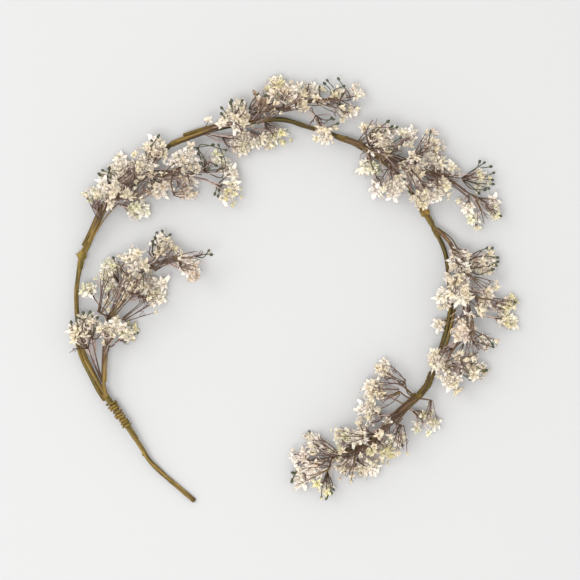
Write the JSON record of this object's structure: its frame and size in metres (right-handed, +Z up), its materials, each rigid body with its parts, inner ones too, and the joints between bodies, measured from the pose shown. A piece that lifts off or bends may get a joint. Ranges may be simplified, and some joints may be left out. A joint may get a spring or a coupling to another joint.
{
  "type": "flower crown",
  "caption": "Open ring of artificial baby's-breath sprigs wired end to end on a bendable tape-wrapped stem, with a bare tail at one end",
  "frame": {"origin": "the middle of the head opening, on the table that the crown lies on", "axes": "+Z up from the table, square to the ring; the open end of the ring is toward -Y and the bare tail leaves toward +X -Y from the lower left"},
  "size_m": [0.2385, 0.2244, 0.0247],
  "materials": {
    "stem": "olive-brown tape-wrapped stem, streaked, matt",
    "strand": "olive plastic sprig stem, satin",
    "tape": "olive floral tape, crinkled, matt",
    "binding": "brown coated binding wire, satin",
    "twig": "mauve-brown plastic twig, matt",
    "blossom": "thin translucent ivory petals, matt",
    "bud": "dark grey-green closed bud, satin"
  },
  "bodies": {
    "crown_top": {"left_tape_joint": "tape", "shoulder_stem": "stem", "shoulder_second_stem": "strand", "top_tape_joint": "tape", "top_stem": "stem", "top_second_stem": "strand", "upper_right_tape": "tape", "right_tape_joint": "tape", "spray_2_stalk": "strand", "spray_2_twigs": "twig", "spray_2_blossoms": "blossom", "spray_2_buds": "bud", "spray_3_stalk": "strand", "spray_3_twigs": "twig", "spray_3_blossoms": "blossom", "spray_3_buds": "bud", "spray_4_stalk": "strand", "spray_4_twigs": "twig", "spray_4_blossoms": "blossom", "spray_4_buds": "bud"},
    "left_arm": {"tail_tape_joint": "tape", "tail_binding": "binding", "left_stem": "stem", "left_second_stem": "strand", "left_sprig_tape": "tape", "spray_1_stalk": "strand", "spray_1_twigs": "twig", "spray_1_blossoms": "blossom", "spray_1_buds": "bud"},
    "tail": {"tail_stem": "stem"},
    "right_arm": {"right_stem": "stem", "right_second_stem": "strand", "right_sprig_tape": "tape", "end_tape_joint": "tape", "spray_5_stalk": "strand", "spray_5_twigs": "twig", "spray_5_blossoms": "blossom", "spray_5_buds": "bud"},
    "end_arm": {"end_stem": "stem", "end_second_stem": "strand", "end_sprig_tape": "tape", "spray_6_stalk": "strand", "spray_6_twigs": "twig", "spray_6_blossoms": "blossom", "spray_6_buds": "bud"}
  },
  "joints": [
    {"name": "left_arm_bend", "type": "hinge", "parent": "crown_top", "child": "left_arm", "pos_m": [-0.1108, 0.0175, 0.005], "axis": [0, 0, 1], "range_deg": [-20, 6]},
    {"name": "tail_bend", "type": "hinge", "parent": "left_arm", "child": "tail", "pos_m": [-0.0856, -0.0744, 0.005], "axis": [0, 0, 1], "range_deg": [-25, 40]},
    {"name": "right_arm_bend", "type": "hinge", "parent": "crown_top", "child": "right_arm", "pos_m": [0.071, 0.0405, 0.005], "axis": [0, 0, 1], "range_deg": [-8, 15]},
    {"name": "end_arm_bend", "type": "hinge", "parent": "right_arm", "child": "end_arm", "pos_m": [0.0726, -0.051, 0.005], "axis": [0, 0, 1], "range_deg": [-12, 20]}
  ]
}
